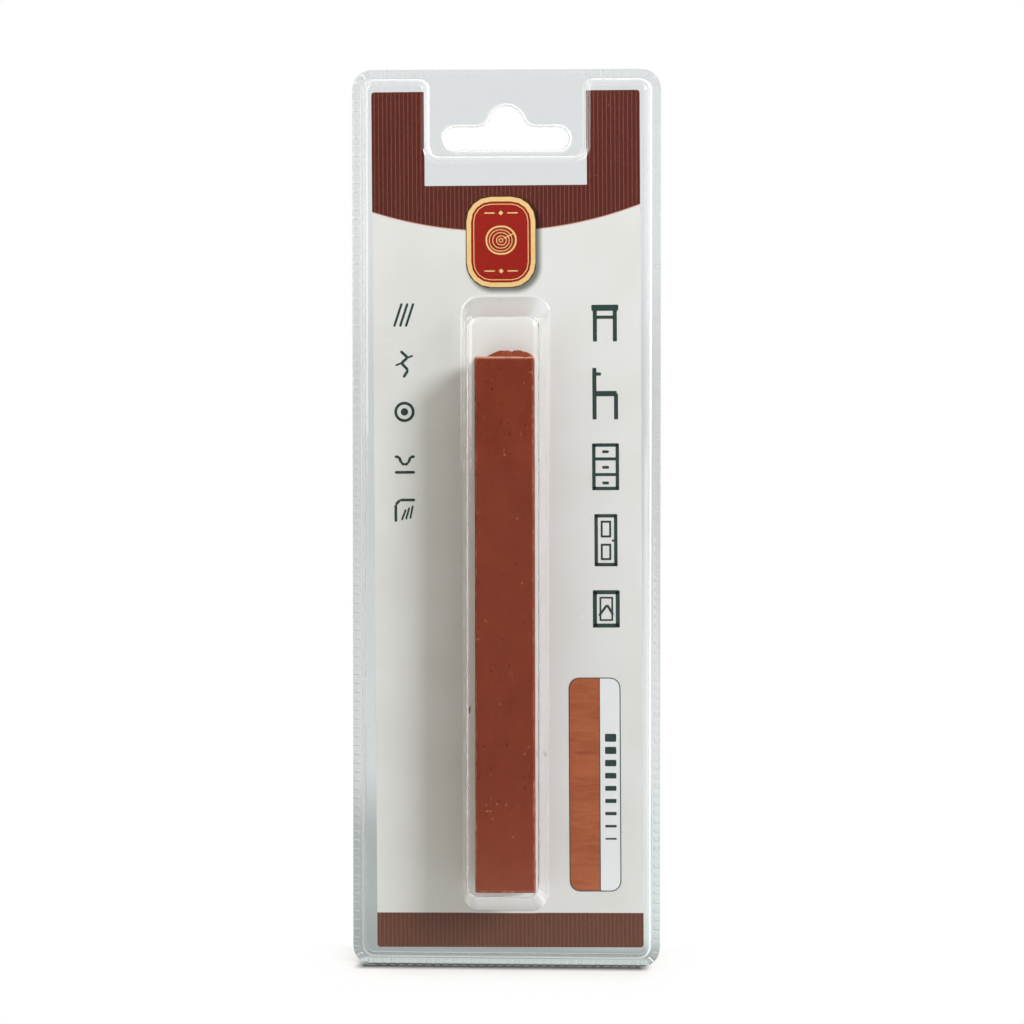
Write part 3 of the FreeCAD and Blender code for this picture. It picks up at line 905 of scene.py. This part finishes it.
def makePlaque(card, ink, plaque):
    # a plain medallion: a gold border round a red field with the growth rings of a sawn log
    gold = makeInk("goldInk", plaque["gold"], plaque["goldPale"], card)
    red = makeInk("redInk", plaque["redDeep"], plaque["red"], card)
    outline = makeInk("outlineInk", *plaque["outline"], card)
    x, z = plaque["x"], plaque["z"]

    def box(inset):
        halfX, halfZ = plaque["width"] / 2 - inset, plaque["height"] / 2 - inset
        return x - halfX, x + halfX, z - halfZ, z + halfZ, plaque["cornerRadius"] - inset

    for layer, (name, inset, material) in enumerate((("plaqueOutline", -plaque["outlineWidth"], outline),
                                                     ("plaqueField", plaque["border"], red))):
        sheet = InkSheet(card, ink["inkLift"] + layer * ink["overprint"])
        sheet.face(rectangle(*box(inset)), 12)
        sheet.finish(name, material)
    trim = InkSheet(card, ink["inkLift"] + 2 * ink["overprint"])
    trim.frame(*box(0), plaque["border"])
    inset, line = plaque["innerFrame"]
    trim.frame(*box(inset), line)
    dice = random.Random(11)
    for reach, line in plaque["rings"]:
        trim.ring(x + dice.uniform(-0.12, 0.12), z + 0.4 + dice.uniform(-0.12, 0.12), reach * 1.08, reach, line)
    startX, startZ, endX, endZ, line = plaque["crack"]
    trim.bar((x + startX, z + startZ), (x + endX, z + endZ), line)
    away, half, near, far, line = plaque["diamond"]
    for level in (z - away, z + away):
        trim.face([(x - half, level, 0.05), (x, level - half, 0.05), (x + half, level, 0.05),
                   (x, level + half, 0.05)], 2)
        for side in (-1, 1):
            trim.bar((x + side * near, level), (x + side * far, level), line)
    trim.finish("plaqueTrim", gold)


repairSigns = {
    "x": -26.35, "line": 0.72, "hole": (2.6, 0.95),
    # signs for the damage that wax mends, each with the height of its middle, then its strokes: a share of the
    # line's width and points from the middle. In turn: scratch, crack, hole, dent and worn edge.
    "signs": (
        (167.6, (0.85, (-2.5, -3), (-0.5, 3)), (0.85, (-1, -3), (1, 3)), (0.85, (0.5, -3), (2.5, 3))),
        (155.0, (1, (-0.9, 3.4), (0.9, 1.7), (-0.7, 0.3), (1, -1.5), (-0.2, -3.4)), (0.7, (0.9, 1.7), (2.3, 2.2)),
         (0.7, (-0.7, 0.3), (-2.2, -0.3))),
        (142.8,),
        (130.2, (1, (-2.6, 1.1), (-1.5, 1.1), (-0.9, -0.5), (0, -1), (0.9, -0.5), (1.5, 1.1), (2.6, 1.1)),
         (1, (-2.6, -2.9), (2.6, -2.9))),
        (117.6, (1, (-2.4, -3), (-2.4, 1.4), (-1.3, 2.6), (2.6, 2.6)), (0.7, (-0.9, -2.6), (0.2, 0.2)),
         (0.7, (0.2, -2.4), (1.1, 0.7)), (0.7, (1.3, -2.2), (2, 1.2))),
    ),
}
furnitureSigns = {
    "x": 25.15, "top": 172.5, "pitch": 18.7, "line": 1.05, "knob": (1.5, 2.1, -7.1, -6.5, 0.25),
    # table, chair, chest of drawers, door and picture frame. Each has frames: left, right, bottom, top, corner and
    # share of the line's width; then bars: from, to, share and how round the ends are.
    "signs": (
        ((), ((-3.45, -3.4, 3.45, -3.4, 1.5, 0.2), (-2.55, -3.6, -2.55, -12, 1, 0.2), (2.55, -3.6, 2.55, -12, 1, 0.2),
              (-2.55, -5.8, 2.55, -5.8, 0.8, 0.2))),
        ((), ((-2.75, 0, -2.75, -13.2, 1, 0.2), (-2.75, -6.6, 2.95, -6.6, 1.3, 0.2), (2.75, -6.6, 2.75, -13.2, 1, 0.2),
              (-2.75, -1.6, -1.05, -1.6, 0.8, 0.2))),
        (((-3.45, 3.45, -12.6, -0.6, 0.3, 0.85),),
         ((-3.15, -4.6, 3.15, -4.6, 0.75, 0.1), (-3.15, -8.6, 3.15, -8.6, 0.75, 0.1),
          (-0.9, -2.75, 0.9, -2.75, 0.7, 0.5), (-0.9, -6.75, 0.9, -6.75, 0.7, 0.5),
          (-0.9, -10.75, 0.9, -10.75, 0.7, 0.5))),
        (((-2.95, 2.95, -13.4, 0, 0.25, 0.85), (-1.35, 1.35, -6, -1.7, 0.15, 0.5),
          (-1.35, 1.35, -11.8, -7.6, 0.15, 0.5)), ()),
        (((-3.45, 3.45, -10.4, -0.8, 0.3, 1), (-1.75, 1.75, -8.7, -2.5, 0.2, 0.45)),
         ((-1.9, -7.4, 0.2, -4.6, 0.6, 0.5), (0.2, -4.6, 1.8, -7.2, 0.6, 0.5))),
    ),
}


def makeRepairSigns(card, ink, green, place):
    sheet = InkSheet(card, ink["inkLift"])
    x, width = place["x"], place["line"]
    for z, *strokes in place["signs"]:
        for share, *points in strokes:
            sheet.line([(x + across, z + up) for across, up in points], width * share)
        if not strokes:  # the hole is a ring round a dot
            outer, dot = place["hole"]
            sheet.ring(x, z, outer, outer, width)
            sheet.face(rectangle(x - dot, x + dot, z - dot, z + dot, dot - 0.02), 6)
    sheet.finish("repairSigns", green)


def makeFurnitureSigns(card, ink, green, place):
    sheet = InkSheet(card, ink["inkLift"])
    x, width = place["x"], place["line"]
    for step, (frames, bars) in enumerate(place["signs"]):
        z = place["top"] - place["pitch"] * step
        for left, right, bottom, top, radius, share in frames:
            sheet.frame(x + left, x + right, z + bottom, z + top, radius, width * share)
        if not bars:  # the door has a knob
            left, right, bottom, top, radius = place["knob"]
            sheet.face(rectangle(x + left, x + right, z + bottom, z + top, radius), 4)
        for startX, startZ, endX, endZ, share, ends in bars:
            sheet.bar((x + startX, z + startZ), (x + endX, z + endZ), width * share, ends)
    sheet.finish("furnitureSigns", green)


swatchShape = {
    "left": 15.47, "right": 28.54, "bottom": 19.53, "top": 74.36, "radius": 2.55, "split": 23.29, "line": 0.26,
    "wood": colour(168, 86, 52), "woodDark": colour(132, 58, 34), "woodPale": colour(192, 114, 76),
    "pale": colour(238, 239, 240), "paleShade": colour(230, 231, 233),
    # a plain scale of tones, from a thin stroke to a bold one: lowest, pitch, half length, thinnest, growth
    "scale": (33.0, 3.25, 1.45, 0.45, 0.2), "scaleStrokes": 9,
}


def makeSwatch(card, ink, green, swatch):
    wood = makeWoodPrint("woodPrint", card, swatch)
    pale = makeInk("paleInk", swatch["paleShade"], swatch["pale"], card)
    left, right, bottom, top, split = (swatch[key] for key in ("left", "right", "bottom", "top", "split"))
    radius, line = swatch["radius"], swatch["line"]
    for name, material, edges in (("swatchWood", wood, ((left, radius), (split, 0))),
                                  ("swatchPale", pale, ((split, 0), (right, radius)))):
        half = InkSheet(card, ink["inkLift"])
        half.face([(x, bottom, r) for x, r in edges] + [(x, top, r) for x, r in reversed(edges)], 8)
        half.finish(name, material)
    sheet = InkSheet(card, ink["inkLift"] + ink["overprint"])
    sheet.frame(left - line / 2, right + line / 2, bottom - line / 2, top + line / 2, radius + line / 2, line)
    sheet.bar((split, bottom), (split, top), line * 0.8, 0)
    middle = (split + right) / 2 + 0.15
    low, pitch, reach, thin, growth = swatch["scale"]
    for step in range(swatch["scaleStrokes"]):
        z = low + step * pitch
        sheet.bar((middle - reach, z), (middle + reach, z), thin + step * growth, 0.15)
    sheet.finish("swatchLines", green)


makeCard(cardShape, makeCardMaterial(cardShape, printSettings, plaqueShape))
greenInk = makeInk("greenInk", inkSettings["green"], inkSettings["greenPale"], cardShape)
makePlaque(cardShape, printSettings, plaqueShape)
makeRepairSigns(cardShape, printSettings, greenInk, repairSigns)
makeFurnitureSigns(cardShape, printSettings, greenInk, furnitureSigns)
makeSwatch(cardShape, printSettings, greenInk, swatchShape)
print("card made")


# Wax stick

stickShape = {
    "widthBottom": 15.3, "widthTop": 14.9, "depth": 14.3, "bottom": 20.9, "top": 156.8, "back": 0.9,
    "shift": 0.5, "lean": 0.17, "edgeRound": 0.42, "cellsAcross": 24, "cellsDeep": 22, "rings": 96,
    # the broken end's outline as seen from the front: x from the stick's middle, rise
    "breakLine": ((-4.3, 0.0), (-3.5, 0.5), (-2.6, 1.0), (-1.7, 1.42), (-0.7, 1.6), (0.6, 1.52), (1.4, 1.4),
                  (1.75, 1.2), (2.2, 1.5), (3.1, 1.66), (4.0, 1.6), (4.9, 1.25), (6.0, 0.85), (6.9, 0.1)),
    "breakFront": 0.7, "breakBack": 12.6,
    "sway": 0.06, "grain": 0.03, "nick": 0.34,
}
waxFinish = {
    "wax": colour(121, 49, 31), "waxDeep": colour(111, 42, 26), "waxPale": colour(146, 72, 48),
    # the worn colour is rubbed wear and, on the stick's top edges, a painted highlight
    "worn": colour(206, 146, 122), "paintedGlint": colour(222, 172, 138), "pit": colour(72, 28, 18),
    "roughness": 0.55, "dullRoughness": 0.75,
}


def makeWaxMaterial(finish):
    material, tree, shader = newMaterial("wax", Specular_IOR_Level=0.1)
    place = objectMillimetres(tree)
    stretched = mapped(place, Scale=(1, 1, 0.55))
    clouds = useGroup(mottle, Vector=stretched, Broad_Scale=0.16, Fine_Scale=1.3)
    grains = useGroup(specks, Vector=place, Scale=0.62, Share=0.62, Size=0.18)
    pits = useGroup(specks, Vector=mapped(place, Location=(31, 7, 13)), Scale=0.5, Share=0.4, Size=0.17)
    scrapes = useGroup(hairlines, Vector=stretched, Scale=0.22, Share=0.2, Width=0.007)
    wearAndHighlight = addNode(tree, "Attribute", attribute_name="wearAndHighlight").outputs["Fac"]
    level = splitUp(place)["Z"]
    # on the top edges the worn colour is a painted highlight line; along the sides it is rubbed wear, stronger low down
    # partly as painted light
    onTop = times(ramp(level, 156.2, 156.5), ramp(clouds["Fine"], 0.1, 0.5, 0.5, 0.95))
    onSides = times(ramp(clouds["Fine"], 0.4, 0.85, 0.04, 0.32), ramp(level, 70.0, 30.0, 1.0, 1.8))
    # painted glints: pale specks standing in for tiny pits that catch the light
    bright = times(grains["Mask"], ramp(grains["Tone"], 0.2, 1.0, 0.12, 0.75))
    tone = blendColour(clouds["Broad"], finish["waxDeep"], finish["wax"])
    for share, over in (
            (times(clouds["Fine"], 0.22), "waxPale"),
            (ramp(level, 156.7, 157.1, 0.0, 0.7), "waxPale"),  # the broken end, made paler: a painted highlight on its upturned face
            (ramp(level, 54.0, 24.0, 0.0, 0.42), "waxPale"),  # paler low down, partly painted light
            # rounded edges: painted highlight on top, rubbed wear on the sides
            (times(maths("POWER", wearAndHighlight, 3.0), larger(onTop, onSides)), "worn"),
            (times(scrapes["Mask"], 0.35), "worn"),
            (times(pits["Mask"], 0.7), "pit"),
            (bright, "paintedGlint")):
        tone = blendColour(share, tone, finish[over])
    feed(shader, Base_Color=tone,
         Roughness=ramp(clouds["Broad"], 0.2, 0.8, finish["roughness"], finish["dullRoughness"]))
    dips = plus(pits["Mask"], times(scrapes["Mask"], 0.4))
    addBump(shader, minus(times(clouds["Fine"], 0.12), dips), 0.6, 0.00012)
    return material


def alongLine(line, x):
    # the height of a line of (x, rise) points at x
    for (x1, rise1), (x2, rise2) in zip(line, line[1:]):
        if x1 <= x <= x2:
            share = (x - x1) / (x2 - x1)
            return rise1 + (rise2 - rise1) * share
    return 0.0


def roughen(bm, shape, wearAndHighlight):
    # the cast surface: a slow sway, a fine grain and small nicks out of the worn edges
    bm.normal_update()
    moves = []
    for vert in bm.verts:
        spot = vert.co
        move = shape["sway"] * noise.noise(spot / 9) + shape["grain"] * noise.noise(spot / 1.3)
        if vert[wearAndHighlight] > 0:
            move -= shape["nick"] * max(0.0, noise.noise(spot / 2.1 + Vector((9, 4, 2))) - 0.18)
            move -= 0.5 * shape["nick"] * max(0.0, noise.noise(spot / 0.7 + Vector((2, 8, 5))) - 0.25)
        moves.append((vert, vert.normal * move))
    for vert, move in moves:
        vert.co += move


def makeStick(shape, material):
    bm = bmesh.new()
    wearAndHighlight = bm.verts.layers.float.new("wearAndHighlight")
    bmesh.ops.create_grid(bm, x_segments=shape["cellsAcross"], y_segments=shape["cellsDeep"], size=0.5)
    bmesh.ops.scale(bm, vec=(shape["widthTop"], shape["depth"], 1), verts=bm.verts[:])
    bmesh.ops.translate(bm, verts=bm.verts[:], vec=at(0, shape["top"], shape["back"] + shape["depth"] / 2))
    edges = [edge for edge in bm.edges if edge.is_boundary]
    drop = (shape["top"] - shape["bottom"]) / shape["rings"]
    spread = (shape["widthBottom"] / shape["widthTop"]) ** (1 / shape["rings"])
    for _ in range(shape["rings"]):
        made = bmesh.ops.extrude_edge_only(bm, edges=edges)["geom"]
        verts = {item for item in made if isinstance(item, bmesh.types.BMVert)}
        edges = [item for item in made if isinstance(item, bmesh.types.BMEdge) and set(item.verts) <= verts]
        bmesh.ops.translate(bm, verts=list(verts), vec=(0, 0, -drop))
        bmesh.ops.scale(bm, vec=(spread, 1, 1), verts=list(verts))
    bmesh.ops.contextual_create(bm, geom=edges)
    bmesh.ops.recalc_face_normals(bm, faces=bm.faces[:])
    corners = [edge for edge in bm.edges if len(edge.link_faces) == 2 and edge.calc_face_angle() > math.radians(60)]
    rounded = bmesh.ops.bevel(bm, geom=corners, offset=shape["edgeRound"], offset_type="OFFSET", segments=3,
                              profile=0.5, affect="EDGES", material=-1, clamp_overlap=True)
    # the rounded edges take the worn colour, a painted highlight along the top
    for vert in rounded["verts"]:
        vert[wearAndHighlight] = 1.0
    top = [face for face in bm.faces if face.normal.z > 0.9]
    inner = [edge for edge in bm.edges if all(face in top for face in edge.link_faces) and len(edge.link_faces) == 2]
    bmesh.ops.subdivide_edges(bm, edges=inner, cuts=3, use_grid_fill=True)
    roughen(bm, shape, wearAndHighlight)
    front = weldY - shape["back"] - shape["depth"]
    for vert in bm.verts:
        if vert.co.z > shape["top"] - 0.2 and not vert[wearAndHighlight]:
            deep = vert.co.y - front
            rise = alongLine(shape["breakLine"], vert.co.x + 0.35 * noise.noise(vert.co / 2.2))
            window = asShare((deep - shape["breakFront"]) / 1.6) * asShare((shape["breakBack"] - deep) / 2.2)
            rough = 0.84 + 0.2 * noise.noise(Vector((vert.co.x, vert.co.y, 3.0)) / 1.1)
            rough += 0.14 * noise.noise(Vector((vert.co.x, vert.co.y, 8.0)) / 0.45)
            vert.co.z += rise * window * rough
            vert[wearAndHighlight] = 0.25 * window * (rise > 0.2)
    bmesh.ops.translate(bm, verts=bm.verts[:], vec=(shape["shift"], 0, 0))
    turnUpright(bm, bm.verts[:], -shape["lean"], (0, 0, (shape["bottom"] + shape["top"]) / 2))
    piece = finishPiece("waxStick", bm, material, "stick", 60)
    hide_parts("wax_stick")
    return piece


flakeShape = {
    # x, z, height, half width, half length, turn
    "places": ((-9.9, 66.6, 4.1, 0.35, 1.05, 18), (9.75, 55.2, 3.3, 0.3, 0.8, -24)), "halfDepth": 0.26, "curl": 0.5,
}


def makeFlakes(shape, material):
    bm = bmesh.new()
    for index, (x, z, height, halfWidth, halfLength, turn) in enumerate(shape["places"]):
        made = bmesh.ops.create_icosphere(bm, subdivisions=3, radius=1.0)["verts"]
        for vert in made:
            vert.co *= 1 + 0.45 * noise.noise(vert.co * 1.4 + Vector((index * 7, 1, 2)))
            vert.co.x += shape["curl"] * vert.co.z ** 2  # curled like a shaving
        bmesh.ops.scale(bm, vec=(halfWidth, shape["halfDepth"], halfLength), verts=made)
        turnUpright(bm, made, turn, (0, 0, 0))
        bmesh.ops.translate(bm, verts=made, vec=at(x, z, height))
    piece = finishPiece("waxFlakes", bm, material, "pack", 40)
    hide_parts("wax_crumbs")


wax = makeWaxMaterial(waxFinish)
makeStick(stickShape, wax)
makeFlakes(flakeShape, wax)
print("wax made")
